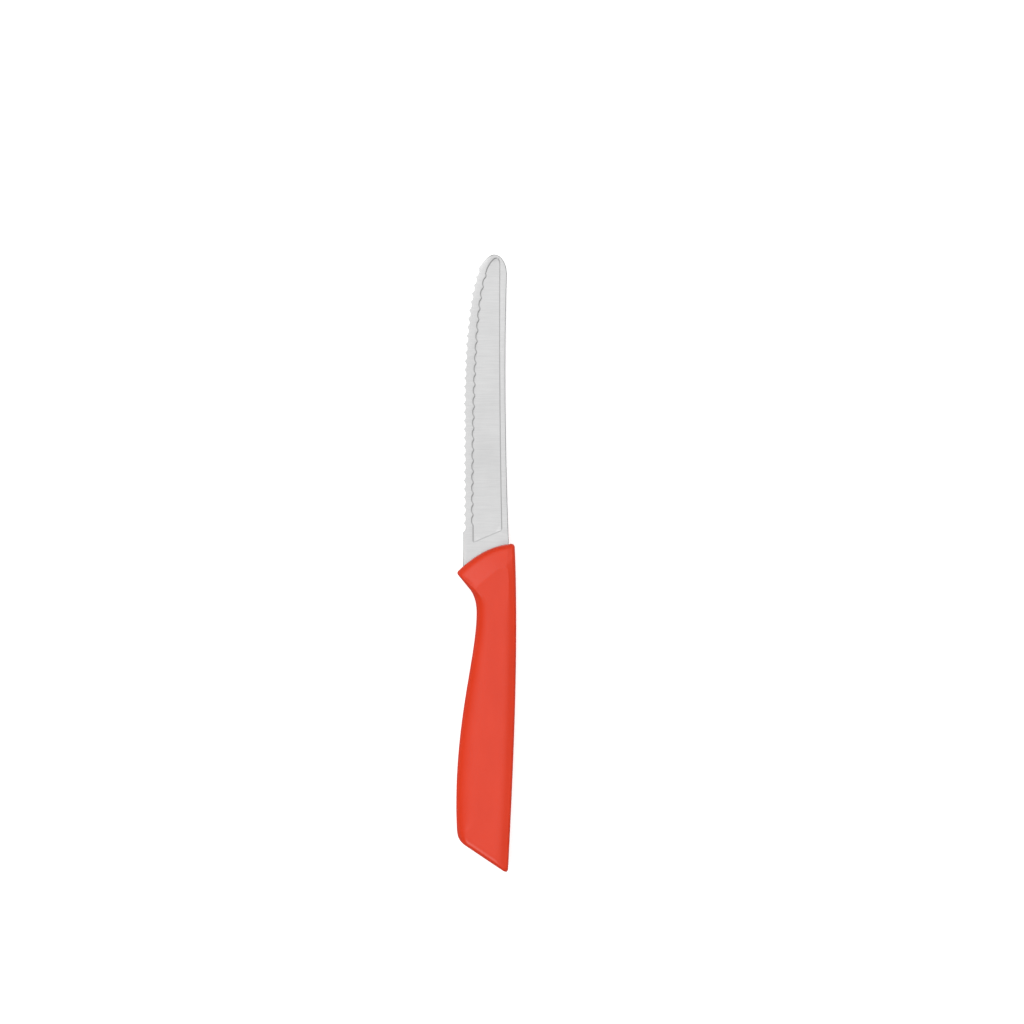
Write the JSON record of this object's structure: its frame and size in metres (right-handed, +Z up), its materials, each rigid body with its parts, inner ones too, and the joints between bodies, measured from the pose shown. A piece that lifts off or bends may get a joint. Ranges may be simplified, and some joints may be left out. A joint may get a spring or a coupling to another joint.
{
  "type": "serrated utility knife",
  "caption": "Fixed-blade kitchen utility knife: a slim serrated steel blade with a wavy pressed panel and a round tip, in a moulded plastic grip with a guard and a slanted butt.",
  "frame": {"origin": "centre of the bottom of the knife's own box, with the knife lying on one flat side of its grip", "axes": "+X from the tip of the blade to the butt, +Y from the cutting edge to the spine, +Z up through the thickness of the knife"},
  "size_m": [0.2058, 0.02, 0.013],
  "materials": {
    "blade_steel": "satin, fine grinding lines across the blade",
    "core_plastic": "as moulded, matt",
    "grip_plastic": "satin gloss with a fine moulded texture"
  },
  "bodies": {
    "root": {"blade": "blade_steel", "handle_core": "core_plastic", "handle_grip": "grip_plastic"}
  },
  "joints": []
}
